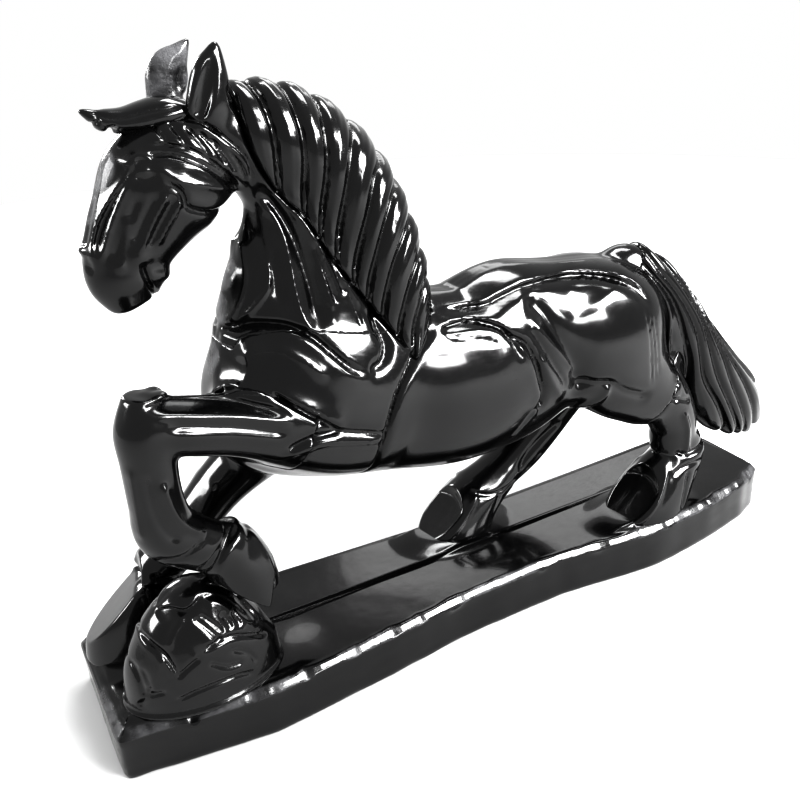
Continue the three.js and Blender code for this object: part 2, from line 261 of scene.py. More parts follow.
# The horse's masses: rows of x, y, z, half width, half depth along each one
body = {
    "barrel": [[-97, 0, 104, 7, 8], [-92, 0, 102, 15, 19], [-80, 0, 97, 21, 29], [-58, 0, 91, 24, 33],
               [-32, 0, 86, 24.5, 34], [-5, 0, 81, 25, 35], [20, 0, 84, 24.5, 37], [42, 0, 86, 23.5, 31],
               [62, 0, 86, 22, 28], [80, 0, 84, 19, 24], [93, 0, 81, 13, 17], [99, 0, 80, 6, 8]],
    "ribs": [[-36, -8, 84, 6, 12], [-22, -10, 84, 14, 24], [-6, -11, 83, 15, 27], [10, -10, 82, 14, 24],
             [22, -8, 80, 6, 12]],
    "haunch": [[34, -7, 90, 8, 15], [44, -9, 89, 14, 23.4], [58, -10, 86, 15.5, 26.2],
               [72, -10, 82.6, 13.5, 23.6], [82, -8, 80, 7, 14]],
    "shoulder": [[-88, -8, 110, 9, 10], [-74, -11, 106, 13, 17], [-58, -13, 98, 14, 20],
                 [-40, -12, 90, 10, 18]],
    "neck": [[-58, 0, 98, 22, 36], [-57, 0, 120, 19, 34], [-54, 0, 138, 16.5, 30.5],
             [-55, 0, 155, 14.5, 27], [-62, 0, 169, 13, 21], [-74, 0, 178, 12, 16],
             [-86, 0, 181, 10, 10]],
    "head": [[-82, 0, 177, 9, 12], [-93, 0, 173, 12, 16.5], [-102, 0, 167, 12.5, 18],
             [-109, 0, 159, 10, 15.5], [-115, 0, 150, 8, 12.5], [-116.5, 0, 142, 8, 11.5],
             [-115, 0, 135, 5, 7]],
    "leftForearm": [[-42, -10, 80, 12, 16], [-58, -14, 83, 13, 17], [-78, -16, 89, 11.5, 13.5],
                    [-96, -17, 95, 10, 10.5], [-112, -18, 100, 9.5, 9.5], [-124, -18, 104, 8, 9]],
    "leftCannon": [[-122, -18, 113, 6, 6], [-123, -18, 102, 9, 9.5], [-124, -18, 90, 8, 8.5],
                   [-124, -18, 77, 8, 8.5], [-122, -17, 65, 9, 10], [-112, -17, 56, 8.5, 9],
                   [-104, -16, 51, 9, 9.5]],
    "raisedHoof": [[-108, -16, 55, 8, 8.5], [-104, -16, 49, 10, 10.6], [-100, -16, 41, 11.2, 10.8],
                   [-97.6, -16, 32, 11.6, 9.8], [-95, -16, 22, 11, 8]],
    "rightForearm": [[-58, 8, 80, 12, 15], [-78, 12, 69, 11, 12], [-94, 16, 56, 9.5, 9.5],
                     [-107, 17, 43, 8.5, 8.5], [-117, 18, 33, 9, 9], [-124, 19, 26, 9.5, 9],
                     [-128, 19, 21, 5, 5]],
    "rightHoof": [[-125, 19, 26, 9, 8], [-129, 19, 21, 11, 12], [-134, 19, 12, 12.5, 14.4],
                  [-137, 19, 2, 13.2, 14.8], [-138, 19, -8, 13.2, 14.8]],
    "leftThigh": [[50, -8, 100, 13, 18], [57, -12, 86, 14, 24], [66, -14, 71, 13, 22],
                  [78, -15, 59, 11.5, 17], [89, -16, 51, 10, 13], [96, -16, 40, 9.5, 11],
                  [98, -16, 30, 9, 11], [102, -16, 21, 9.5, 12], [93, -17, 10, 12, 16],
                  [84, -18, 0, 14, 19], [80, -18, -10, 14, 19]],
    "hock": [[92, -15, 52, 5, 7], [95, -14, 64, 4.5, 5], [97, -13, 74, 1.5, 2]],
    "rightThigh": [[56, 8, 96, 13, 20], [62, 11, 80, 13, 20], [66, 13, 62, 11, 15], [56, 15, 45, 10, 11],
                   [42, 16, 30, 9.5, 10], [27, 16, 20, 9.5, 9.5], [13, 16, 10, 12, 13],
                   [6, 16, 0, 13.5, 17],
                   [3, 16, -9, 13.5, 17]],
    "tail": [[66, 0, 107, 5, 5], [77, -1, 109, 8, 7.6], [88.5, -5, 100, 8.5, 9], [98.6, -8, 85, 9.5, 10.5],
             [109, -11, 67, 10.5, 12.6], [121, -13, 49, 11, 15], [136, -14, 34, 9, 14],
             [148, -14, 22, 4, 6]],
    "mane": [[-80, -2, 185, 7, 7], [-66, -3, 179, 12, 12], [-53, -4, 169, 14, 13.5],
             [-43, -5, 154, 15, 14.5], [-37, -6, 137, 15.5, 14.5], [-33, -7, 120, 14, 13],
             [-31, -9, 103, 8, 7]],
}
joints = {  # each limb's flat joint: a point on it, the way it faces, and the fillet round the limb's root
    "neck": ((-58, 0, 112), (0.14, 0, 0.99), 7),
    "leftForearm": ((-74, -16, 88), (-0.93, 0, 0.35), 7),
    "rightForearm": ((-76, 11.5, 70), (-0.76, 0.14, -0.62), 7),
    "leftThigh": ((84, -15.5, 55), (0.8, 0, -0.6), 7),
    "rightThigh": ((61, 14, 54), (-0.75, 0, -0.66), 7),
    "tail": ((80, -1.5, 108), (0.9, -0.2, -0.35), 2),
}
limbMasses = {  # the masses of each limb and the fillet between them
    "neck": (["neck"], 1),
    "leftForearm": (["leftForearm", "leftCannon", "raisedHoof"], 2),
    "rightForearm": (["rightForearm", "rightHoof"], 2),
    "leftThigh": (["leftThigh", "hock"], 2),
    "rightThigh": (["rightThigh"], 1),
    "tail": (["tail"], 1),
}


def addMass(values, box, name, radius, flip=False):
    return addSurface(values, box, loft(mirrored(body[name]) if flip else body[name]), radius)


def torsoField(box):
    # Barrel, ribs, haunches and shoulders, the last three on both sides
    values = addMass(emptyField(box), box, "barrel", 1)
    for name in ("ribs", "haunch", "shoulder"):
        addMass(values, box, name, 5)
        addMass(values, box, name, 5, flip=True)
    return values


def limbField(name, box):
    values = emptyField(box)
    masses, radius = limbMasses[name]
    for mass in masses:
        addMass(values, box, mass, radius)
    return values


def planeDistance(name, box):
    # How far a cell lies behind a flat joint: negative past it
    point, facing, _ = joints[name]
    n = unit(np.array(facing, float))
    return (point[0] - box["x"]) * n[0] + (point[1] - box["y"]) * n[1] + (point[2] - box["z"]) * n[2]


def horseFields(box):
    # The torso, each limb near this box, and the whole horse with its fillets
    torso = torsoField(box)
    limbs = {name: limbField(name, box) for name in joints}
    limbs = {name: field for name, field in limbs.items() if field.min() < figure["reach"] * 0.9}
    whole = torso.copy()
    for name, field in limbs.items():
        whole = melt(whole, field, joints[name][2])
    return torso, limbs, whole


def limbShare(name, torso, limbs, box):
    # Negative in the cells of the block past a joint: past the plane, and nearer to its own mass than to
    # the torso and the other limbs
    far = figure["reach"] * 0.98
    own = limbs[name]
    others = torso
    for other, field in limbs.items():
        if other != name:
            others = np.minimum(others, field)
    nearer = np.where(((own <= -far) & (others <= -far)) | (own >= far), figure["reach"], own - others)
    return np.maximum(planeDistance(name, box), nearer)


# Carved lines: depth (negative for a ridge), width, bank, points (x, z), and the side if it isn't both
trunkStrokes = [
    (1.7, 1.5, 1.1, [(-19.5, 113), (-8, 111.3), (1.5, 111), (8.6, 112.5), (19, 114), (36.9, 113),
                     (54.2, 110.7), (65, 106), (72, 97)]),
    (1.9, 1.0, 0.7, [(-21.5, 107.6), (-14, 108.4), (-6, 107.8), (1.8, 104.9), (5.6, 101), (9.5, 91.5)]),
    (0.7, 1.1, 0, [(-20, 106.4), (-9, 103.3), (1, 100.4)]),
    (2.4, 1.5, -1.3, [(3, 104), (7, 100.4), (12.7, 96.2), (15.8, 89.9), (18.4, 81.5), (20.4, 75),
                      (18, 66)]),
    (-1.3, 1.8, 0, [(16, 105), (23.7, 94.8), (30, 87), (36.5, 78.5)]),
    (1.0, 1.3, 0, [(14, 103), (20, 93), (26.5, 83), (33, 74)]),
    (-0.9, 1.7, 0, [(17.6, 92), (23.2, 80), (31, 69)]),
    (2.6, 4.2, 0, [(15, 112), (21, 107), (25.5, 100), (30.5, 90), (37.5, 76), (42, 68)]),
    (1.5, 2.6, 0.8, [(36, 75), (44, 73), (51.5, 71.4), (59.7, 65.9), (73, 60)]),
    (-1.0, 1.4, 0, [(51.3, 71.6), (48.8, 64), (40.9, 58)]),
    (0.5, 0.6, 0, [(67.4, 99), (69, 88), (70.3, 78), (71.6, 65)]),
    (0.5, 0.6, 0, [(69.6, 97), (71.2, 87), (72.5, 78), (73.8, 66)]),
    (0.4, 0.6, 0, [(72, 95), (73.6, 86), (74.8, 78), (76, 68)]),
    (-0.9, 0.9, 0, [(21.5, 70.5), (16.6, 67), (8.2, 57.3)]),
    (2.6, 1.4, -1.2, [(-21, 110), (-27, 107), (-33, 102.8), (-41.2, 94), (-45.2, 86.4), (-48.1, 77.6),
                              (-50, 66), (-54, 58)]),
    (1.9, 1.1, -1.3, [(-104, 127), (-98, 123.5), (-90, 121.6), (-84.9, 123.4), (-80.7, 123.7),
                      (-74.5, 122.5), (-68.9, 119), (-63.6, 113), (-58.5, 107.3), (-52, 103)]),
    (2.2, 2.0, 0, [(-45.6, 124), (-44.6, 116), (-43.2, 110), (-46.3, 105), (-53, 104)]),
    (-0.8, 1.5, 0, [(-91, 112), (-88, 117), (-80, 117.4), (-73, 112.5), (-66.5, 105.6)]),
    (1.8, 1.0, 1.5, [(-85, 105), (-82.9, 103), (-74.9, 96.1), (-63.8, 86.6)], "left"),
    (1.5, 1.0, 0.5, [(-63.6, 87.2), (-72, 88), (-77, 87.4), (-83.5, 85.6)], "left"),
    (1.3, 1.0, 0, [(-66, 88), (-56, 84.2), (-47.5, 80.6)]),
    (-1.0, 1.5, 0, [(-86, 83), (-72, 85), (-59.3, 81.8), (-48, 78.6)]),
]
neckStrokes = [
    (1.7, 1.0, -1.0, [(-84, 197), (-79.6, 186.5), (-78.3, 178), (-73.7, 167.4), (-68.6, 159.5),
                      (-63.9, 154), (-57.4, 141.3), (-49.7, 128.8), (-43.1, 119), (-36.1, 108.4),
                      (-32, 101)]),
    (2.4, 2.1, 0, [(-76, 166), (-72.3, 159.8), (-68.1, 149.7), (-66.1, 140.2), (-65, 130.6), (-64.5, 119)]),
    (-1.0, 1.2, 0, [(-77, 162), (-72.8, 155.5), (-71, 149), (-70.6, 140), (-70.5, 131), (-69, 122.5),
                            (-65, 117)]),
    (1.2, 2.2, 0, [(-81, 160), (-76.8, 149), (-75.4, 139), (-75, 127)]),
    (-0.9, 1.3, 0, [(-77, 170), (-72.2, 162.9), (-66, 155.1), (-61.9, 146.1), (-60.4, 133.4), (-60, 120)]),
    (1.1, 0.8, 0, [(-62.6, 147.5), (-60.6, 138), (-57.8, 126)]),
    (1.1, 0.8, 0, [(-59.5, 143), (-57.3, 138), (-54.6, 128)]),
    (0.7, 0.7, 0, [(-55, 133), (-52.6, 126), (-50.5, 117)]),
    (-1.0, 0.9, 0, [(-75.4, 149), (-76.2, 141.2), (-77.2, 136.4), (-80, 132.2), (-87, 125)]),
    (-0.9, 0.8, 0, [(-86, 152), (-82.6, 147.4), (-82.4, 143.4), (-83.2, 138.1), (-86, 130.9), (-92, 121)]),
]
headStrokes = [
    (1.2, 0.9, -0.9, [(-109, 177.6), (-101.1, 177.4), (-93.9, 174.4), (-88.3, 170), (-80, 162.8)]),
    (-0.8, 1.1, 0, [(-106.5, 176), (-102.3, 172), (-98.3, 169.7), (-91.3, 167.2), (-84, 164.6)]),
    (1.1, 1.0, 0.9, [(-104.4, 171.4), (-99.9, 167), (-98.6, 162.6), (-91.5, 159.4), (-85, 159.6),
                     (-79, 163)]),
    (1.0, 0.8, 0.9, [(-107, 180.6), (-100.3, 179.7), (-93.3, 176.8), (-85.1, 169.6), (-79.4, 162.9)]),
    (1.0, 0.8, -0.8, [(-100, 187), (-90.9, 184.6), (-83.8, 178.8), (-78.7, 172.4), (-77.4, 164)]),
    (1.1, 0.6, 0, [(-104.5, 187.6), (-102.6, 184), (-101, 180.4)]),
    (1.1, 0.6, 0, [(-99, 185.6), (-97.2, 182), (-95.6, 178.2)]),
    (1.1, 0.6, 0, [(-95.2, 184.4), (-92.2, 180), (-89.6, 174.8)]),
    (1.0, 0.6, 0, [(-92.4, 183), (-88.4, 178), (-85, 171.6)]),
    (1.0, 0.6, 0, [(-89.1, 180.6), (-85.4, 175.6), (-81.8, 168.8)]),
    (0.9, 0.6, 0, [(-84.6, 177), (-81.6, 172.4), (-79, 166.6)]),
    (-1.0, 0.8, 0, [(-108.6, 180), (-112.6, 174), (-117.4, 168.6), (-122.3, 162), (-125.4, 154.6),
                    (-127, 148)]),
    (1.0, 1.0, 0, [(-110.4, 176.4), (-115.6, 169), (-121, 160.4), (-125, 151.6)]),
    (-1.1, 0.9, 0, [(-112, 173.4), (-114.9, 168.8), (-117.6, 164.4), (-121, 157.6), (-124.4, 150)]),
    (0.9, 1.5, 0, [(-110.6, 168.6), (-114.2, 161.5), (-117.6, 155), (-120.4, 149)]),
    (-0.9, 1.1, 0, [(-114, 162.4), (-117.2, 155), (-119.8, 146)]),
    (-0.9, 0.9, 0, [(-103.6, 167.6), (-107.8, 161.4), (-111.4, 154.7), (-113.9, 150.8)]),
    (0.8, 1.0, 0, [(-106.6, 167.6), (-110.8, 160.8), (-114.6, 154)]),
    (-0.8, 0.9, 0, [(-99.4, 166), (-104.6, 158.4), (-108.6, 152)]),
    (0.8, 1.0, 0, [(-101.6, 166.4), (-106.2, 159.4), (-110.6, 152.4)]),
    (1.9, 0.8, 0, [(-113.2, 149), (-112.4, 143), (-110, 137), (-107.4, 130)]),
    (-1.1, 0.9, 0, [(-113.4, 175.6), (-110, 178.2), (-105.6, 177)]),
    (0.7, 0.7, 0, [(-111.6, 172.6), (-108.6, 171.6), (-105.4, 172.6)]),
]
headBumps = [  # height, centre, radii; each is made on both sides
    (-1.0, (-108.6, 10.5, 174.4), (3.6, 4, 2.8)),
    (1.7, (-108.7, 10.2, 174.4), (1.9, 3, 1.6)),
    (1.3, (-125.6, 4.2, 151), (3.2, 2.8, 3.2)),
    (-2.2, (-127.6, 4.6, 149.6), (1.3, 1.6, 1.9)),
    (1.2, (-113.4, 8, 149.6), (3, 3, 2.8)),
    (1.3, (-105.6, 4, 141), (4.2, 5, 4.4)),
    (0.9, (-118.5, 2, 133.8), (5, 4, 3.2)),
    (0.8, (-128, 1, 153), (1.6, 2, 1.4)),
    (0.9, (-100.5, 7, 188), (5, 3.4, 3)),
]
legStrokes = {  # for each leg: the middle plane of its strokes, and the strokes
    "leftForearm": (-17, [
        (1.7, 1.2, 0, [(-126, 111.6), (-118, 110.4), (-109.9, 108.2), (-95.2, 103.6), (-79.6, 97.2)]),
        (-1.0, 1.0, 0, [(-124, 109.4), (-111, 106), (-96.5, 101.4), (-79, 94.8)]),
        (1.0, 1.4, 0, [(-120, 104.4), (-112, 102.8), (-97, 97.8), (-81, 91)]),
        (-0.9, 1.0, 0, [(-122, 114), (-108.4, 110.4), (-95.4, 107), (-83, 104.6)]),
        (-1.4, 1.4, 0, [(-122.6, 88), (-122, 82), (-120.6, 75.4), (-117.6, 69.6), (-111, 63.6)]),
        (1.0, 2.0, 0, [(-126.6, 92), (-126.4, 80), (-124.6, 71), (-120, 64)]),
        (-0.9, 0.8, 0, [(-130.7, 94), (-131, 86.8), (-131.4, 76.3), (-131.6, 67)]),
        (1.5, 0.9, 1.0, [(-100, 64), (-101.5, 60.4), (-108, 56), (-114, 46)]),
        (0.8, 0.8, 0, [(-103, 64), (-105.4, 59.6), (-111, 56), (-117, 50)]),
        (0.9, 1.0, 0, [(-129, 59), (-121, 59.4), (-113, 63)]),
        (-0.8, 0.9, 0, [(-97, 58), (-93.4, 50), (-91.6, 40), (-91, 31)])]),
    "rightForearm": (17, [
        (-1.2, 1.2, 0, [(-98, 62), (-106, 50), (-112, 40)]),
        (-1.4, 1.6, 0, [(-119, 36), (-114, 31), (-108, 28)]),
        (1.3, 1.1, 0, [(-126, 32), (-119, 26), (-112, 24)]),
        (1.4, 0.9, 0.8, [(-136, 27), (-128, 27), (-120, 20), (-114, 12)]),
        (0.9, 1.2, 0, [(-128, 13), (-125, 7), (-124, 0)])]),
    "leftThigh": (-16, [
        (1.5, 0.9, 0.6, [(76, 68), (82.1, 65), (90, 59.4)]),
        (1.5, 0.9, 0.6, [(75.4, 60.2), (81.5, 57.7), (89, 52.8)]),
        (1.1, 0.9, 0, [(92, 66), (94, 60.8), (96, 54)]),
        (1.2, 0.9, 0, [(87, 55), (91.6, 53), (97, 50.6)]),
        (-1.2, 1.3, 0, [(92, 48), (96.4, 38), (97.4, 28), (97.6, 22)]),
        (1.9, 1.1, -1.0, [(92, 27), (98, 24.6), (106, 25), (112, 27)]),
        (1.2, 0.9, 0, [(88, 17.4), (95, 19.6), (103, 19.4), (110, 17)]),
        (-1.2, 1.0, 0, [(88, 22), (80, 12), (72, 4), (66, 0)]),
        (1.2, 1.2, 0, [(98, 18), (95.4, 10), (93, 0)]),
        (1.1, 0.9, 0, [(104, 16), (103.6, 8), (102.4, 0)])]),
    "rightThigh": (16, [
        (-1.3, 1.3, 0, [(60, 56), (50.2, 45.4), (42, 42), (33.9, 38), (27, 31)]),
        (1.4, 1.6, 0, [(54, 42), (44, 35), (36, 28), (32, 22)]),
        (1.1, 1.0, 0, [(46, 30), (38, 22), (30, 14)]),
        (1.5, 1.0, 0.9, [(8, 20), (16, 17), (25, 17), (33, 20)]),
        (-1.0, 1.0, 0, [(14, 22), (4, 12), (-4, 4), (-8, 0)]),
        (1.1, 1.2, 0, [(22, 16), (18, 8), (15, 0)])]),
    "tail": (-8, [
        (1.8, 0.9, 0, [(74.8, 117), (74.6, 110), (76.6, 103)]),
        (1.2, 0.8, 0, [(71.6, 116), (71, 110), (73, 104)])]),
}

mane = {
    "lift": 1.9,  # how far the valleys between its locks lie under the horse's rounded skin
    "rise": 2.7,  # height of a lock over its valleys
    "shell": 4.0,  # thickness over the neck
    "round": 1.6,  # how far its edges are rounded off
    "locks": [  # the lines between locks, from the ears back to the withers: x, z from the crest down
        [(-82.5, 199), (-80, 190), (-79, 182), (-78, 175), (-76, 166)],
        [(-74.6, 199), (-73.3, 193), (-71.8, 187.2), (-70.7, 177.3), (-70, 164), (-70, 154)],
        [(-64, 197), (-63.6, 191.4), (-63.2, 184.3), (-62.6, 173.6), (-62.8, 163), (-64, 150)],
        [(-52, 192), (-54, 186), (-55.5, 179.6), (-56.3, 171.2), (-57.7, 158.8), (-60.5, 143)],
        [(-39, 183), (-43.5, 178), (-47.7, 172.4), (-50.9, 163.4), (-53.6, 148.9), (-56.5, 134)],
        [(-29, 172), (-35, 167.5), (-41.3, 163), (-45.7, 151.6), (-49, 138.4), (-51.5, 124)],
        [(-23, 163), (-29.1, 160.2), (-36, 156), (-41.4, 146.6), (-45, 133.5), (-47, 118)],
        [(-16, 152), (-22.7, 150.6), (-31.1, 146), (-37.6, 137.6), (-40.8, 126.2), (-42, 110)],
        [(-11, 139), (-18.9, 138.4), (-28, 134.4), (-33.8, 125.3), (-36.4, 112), (-37.5, 103)],
        [(-9, 129), (-16.8, 128.6), (-25, 125), (-29.6, 116.2), (-32, 105), (-33, 98)],
        [(-8, 117), (-14, 116), (-20, 112), (-26, 107), (-32, 101), (-36, 96)],
    ],
}
tail = {
    "lift": 1.2,
    "rise": 2.6,
    "start": (74, 84),  # where along x its locks begin to rise
    "locks": [  # the lines between its locks, from the front back: x, z from the root down
        [(70, 110), (77, 102), (80, 94), (82, 86), (86, 74), (92, 60), (98, 48)],
        [(76, 116), (82, 106), (89.8, 96.5), (94.5, 86.8), (97.4, 77), (100.4, 66), (103, 52), (108, 40),
         (114, 28)],
        [(80, 119), (85, 108), (91.4, 99), (98, 89), (102.4, 79), (104.6, 68), (108, 56), (117.7, 41),
         (126, 28)],
        [(84, 121), (91.9, 107), (99, 95.9), (106, 83.5), (109.4, 70), (114, 56), (122, 42), (134, 24)],
        [(96, 118), (100, 102), (105.4, 88), (112.1, 75.6), (117.2, 65), (122, 52), (130, 38), (141, 20)],
        [(104, 104), (108, 84), (114.3, 73.6), (121, 64), (129, 53), (136, 41), (148, 18)],
        [(110, 96), (115, 78), (123, 66), (133, 55.4), (144, 44), (157, 28)],
        [(116, 96), (124, 80), (134, 66), (146, 54), (160, 40)],
    ],
    "loop": [[75, -6, 105, 3, 3], [79, -9, 103.6, 3.6, 3.4], [85.4, -11, 96.6, 3.8, 3.4],
             [90.6, -12, 87, 3.6, 3.2], [93.6, -13, 77, 3.4, 3.2], [92, -13.6, 70.6, 3.2, 2.8],
             [87, -14, 68.4, 2.4, 2]],
    "tie": [[71.6, -0.5, 112.5, 9, 9.4], [73.4, -0.6, 112, 10, 10.4], [75.2, -0.8, 111.4, 9, 9.4]],
}
ears = {
    "leftEar": [[-88, -6.5, 183, 4, 5.5], [-87.4, -8, 189, 4.2, 6.2], [-85.8, -8.4, 197, 3.4, 5.2],
                [-83.9, -8.2, 202.4, 1.8, 2.6], [-82.9, -8, 205.3, 0.5, 0.7]],
    "leftHollow": [[-91.4, -10, 186, 1.4, 2], [-89.6, -12, 191.5, 2.4, 2.6], [-87.4, -12, 197, 2, 2.4],
                   [-84.8, -10.6, 202.4, 0.5, 0.9]],
    "rightEar": [[-91, 6.5, 184, 4, 4], [-94.6, 8, 189.4, 3.6, 4.6], [-93.6, 8.6, 194, 3.4, 6.2],
                 [-91.4, 8.6, 198.6, 2.8, 5.6], [-88.2, 8.2, 202.2, 1.8, 2.8], [-85, 8, 205.6, 0.4, 0.5]],
    "rightHollow": [[-90.4, 4.6, 189.6, 1.0, 1.4], [-90, 4.6, 193.4, 2.2, 2.8], [-88.6, 4.8, 198, 1.9, 2.4],
                    [-86.8, 5.6, 202.4, 0.9, 1.0], [-85.8, 6.4, 204.2, 0.3, 0.4]],
}
forelock = {
    "path": [[-92, -1, 187, 6, 3.4], [-98, -1, 187.4, 7, 4.6], [-104, -1, 186.6, 6.6, 4.6],
             [-110, -1, 186.4, 5.6, 3.6], [-115.5, -1, 187.2, 4.2, 3], [-119, -1, 189.2, 2, 1.5],
             [-121.2, -1, 190.4, 0.6, 0.5]],
    "strokes": [(0.9, 0.7, 0, [(-94, 189), (-103, 188.6), (-112, 187.6), (-120, 190)]),
                (0.8, 0.7, 0, [(-98, 185), (-106, 184), (-113, 184.6), (-118, 187.6)]),
                (1.3, 0.9, 0, [(-115.4, 181), (-114.2, 184), (-112.6, 186.4)]),
                (1.0, 0.8, 0, [(-119.8, 184), (-118.4, 186.6), (-116, 188)])],
}
rock = {
    "middle": -13,
    "path": [[-118, -13, -4, 17, 28], [-118, -13, 6, 17, 27.6], [-118, -13, 14, 16.4, 26],
             [-117, -13, 25, 14.6, 20.6], [-115.5, -13, 34, 10.4, 13.6], [-114.4, -13, 39, 6.6, 8],
             [-114, -13, 41.4, 2.6, 3]],
    "strokes": [
        (1.3, 0.8, 0.9, [(-131, 34.4), (-129, 35.2), (-125.8, 36.4), (-121.6, 36), (-115.6, 38.6)]),
        (1.2, 0.7, -0.8, [(-137.6, 29), (-136, 28.4), (-134.2, 27), (-131.8, 24.1), (-129.4, 16.6)]),
        (-0.8, 0.8, 0, [(-123, 35.4), (-127.6, 31.3), (-131, 26.2)]),
        (-0.8, 0.8, 0, [(-132.6, 24.6), (-135.3, 19.9), (-139.6, 12.6)]),
        (1.0, 0.6, 0, [(-141.2, 21), (-140.4, 15.7), (-140.4, 9)]),
        (0.8, 0.5, 0, [(-139.2, 20), (-138.6, 15), (-138.8, 9)]),
        (1.3, 0.7, -0.9, [(-116, 40.2), (-113.2, 39.6), (-108.6, 36.8), (-105.2, 33), (-102.7, 28.4),
                          (-99, 21)]),
        (1.2, 0.7, -0.8, [(-117, 37.4), (-114, 37.8), (-110.6, 36.2), (-106.8, 31.7), (-101, 23)]),
        (1.2, 0.6, 0, [(-121, 34.2), (-117.4, 29.7), (-113.4, 23.6)]),
        (0.9, 0.5, 0, [(-119, 34.6), (-115.8, 31), (-112.6, 26.6)]),
        (1.1, 0.6, 0, [(-111.6, 32.2), (-110.6, 29.4), (-109.4, 26.4)]),
        (1.1, 0.6, 0, [(-108, 31), (-107.2, 28.4), (-106.2, 25.6)]),
        (1.4, 0.8, 0.9, [(-121.4, 23.4), (-114.9, 24.4), (-108.7, 23.2), (-99, 16.6), (-96, 14)]),
        (1.1, 0.7, -0.7, [(-121.6, 21.6), (-126.1, 19.2), (-130.4, 16)]),
        (1.0, 0.6, 0, [(-143, 4.4), (-138.5, 10), (-133.6, 11.4)]),
        (1.0, 0.9, 0.7, [(-133, 7), (-124, 9.6), (-112, 9.4), (-104, 6)]),
        (0.9, 0.7, 0, [(-112, 20), (-106, 15), (-103, 9)]),
        (0.9, 0.7, 0, [(-120, 19), (-114, 14.6), (-108, 13)])],
    "bead": 1.2,  # height of the rounded rim at its foot
}


boxes = {  # for each piece: the box its cells fill, low corner and high corner, and the size of a cell
    "trunk": ((-106, -36, 36), (108, 36, 128), 0.79),
    "neck": ((-134, -30, 90), (-12, 30, 211), 0.57),
    "mane": ((-92, -26, 92), (-6, 20, 204), 0.48),
    "forelock": ((-126, -12, 176), (-84, 10, 196), 0.4),
    "rock": ((-152, -36, -1), (-84, 10, 46), 0.5),
    "leftForearm": ((-138, -36, 18), (-56, 2, 122), 0.48),
    "rightForearm": ((-156, -2, -1), (-56, 38, 90), 0.52),
    "leftThigh": ((54, -38, -1), (120, 4, 82), 0.5),
    "rightThigh": ((-22, -2, -1), (86, 36, 82), 0.52),
    "tail": ((66, -32, 10), (160, 14, 124), 0.5),
}


def carveAll(values, box):
    # Every planed face and carved line of the horse's trunk, neck and head that comes near this box
    plane(values, box)
    carve(values, box, trunkStrokes)
    carve(values, box, neckStrokes, edge=(0.6, 4))
    carve(values, box, headStrokes, edge=(0.4, 2.6))
    swell(values, box, headBumps)
    swell(values, box, [(h, (x, -y, z), r) for h, (x, y, z), r in headBumps])
    return values


def extend(points, length=12.0):
    # A smooth line through the points, carried straight on past both ends
    points = np.array(points, float)
    first = points[0] - unit(points[1] - points[0]) * length
    last = points[-1] + unit(points[-1] - points[-2]) * length
    return spline(np.vstack([first, points, last]), 5)


def lockHeight(box, lines, rise):
    # Between two neighbouring lines f runs from 0 to 1, and a lock stands
    # rise * (1 - (2 f^0.8 - 1)^2)^0.65 high, with a few fine hair lines on it
    u, v = box["x"], box["z"]
    sides = [lineDistance(u, v, extend(line))[2] for line in lines]
    height = np.zeros_like(sides[0])
    for before, after in zip(sides[:-1], sides[1:]):
        inside = (before > 0) & (after <= 0)
        f = np.clip(before / np.maximum(before - after, 1e-6), 0, 1) ** 0.8
        lock = rise * (1 - (2 * f - 1) ** 2) ** 0.65 + 0.1 * np.cos(2 * np.pi * 4 * f) * np.sin(np.pi * f)
        height = np.where(inside, lock, height)
    return height


def maneField(box, whole, torso, neck):
    # The horse's skin less the valleys and locks, behind the line where the mane meets the neck
    skin = addMass(np.minimum(torso, whole), box, "mane", 4)
    outer = skin + mane["lift"] - lockHeight(box, mane["locks"], mane["rise"])
    front = lineDistance(box["x"], box["z"], extend(neckStrokes[0][3]))[2]
    rear = lineDistance(box["x"], box["z"], extend(mane["locks"][-1]))[2]
    region = np.maximum(-front, rear)
    core = np.minimum(torso, neck) + mane["shell"]
    radius = mane["round"]
    overlap = np.maximum(radius - np.abs(outer - region), 0) / radius
    solid = np.maximum(outer, region) + overlap * overlap * radius * 0.25
    return np.maximum(solid, -core)


def concavity(values, box, points):
    # The Laplacian of the distance at the cell under each point: positive on ridges, negative in grooves
    lap = np.zeros_like(values)
    for axis in range(3):
        v, l = np.moveaxis(values, axis, 0), np.moveaxis(lap, axis, 0)
        l[1:-1] += v[2:] + v[:-2] - 2 * v[1:-1]
    lap /= box["size"] ** 2
    cells = np.clip(np.round(points / box["size"]).astype(int) - box["first"], 0, box["shape"] - 1)
    return lap[cells[:, 0], cells[:, 1], cells[:, 2]]


def addPiece(name, points, faces, nodes, groove=None, rough=None):
    mesh = bpy.data.meshes.new(name)
    mesh.from_pydata(place(points).tolist(), [], faces if isinstance(faces, list) else faces.tolist())
    mesh.polygons.foreach_set("use_smooth", np.ones(len(mesh.polygons), bool))
    for key, values in (("groove", groove), ("rough", rough)):
        attribute = mesh.attributes.new(key, "FLOAT", "POINT")
        if values is not None:
            attribute.data.foreach_set("value", values.astype(np.float32))
    mesh.update()
    piece = bpy.data.objects.new(name, mesh)
    bpy.context.scene.collection.objects.link(piece)
    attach(piece, "root")
    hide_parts(*nodes)
    print("made", name, sum(len(p.vertices) - 2 for p in mesh.polygons), "triangles")
    return piece


roughSpots = [  # where the stone was left unpolished: centre and radius
    ((-94, 9, 196), 12), ((-92, 2, 190), 4), ((-92, 0, 140), 9), ((-95, 0, 128), 8), ((-93, 0, 150), 6),
    ((-100, 0, 113), 8), ((-118, 0, 174), 7), ((-122, 0, 163), 5),
]


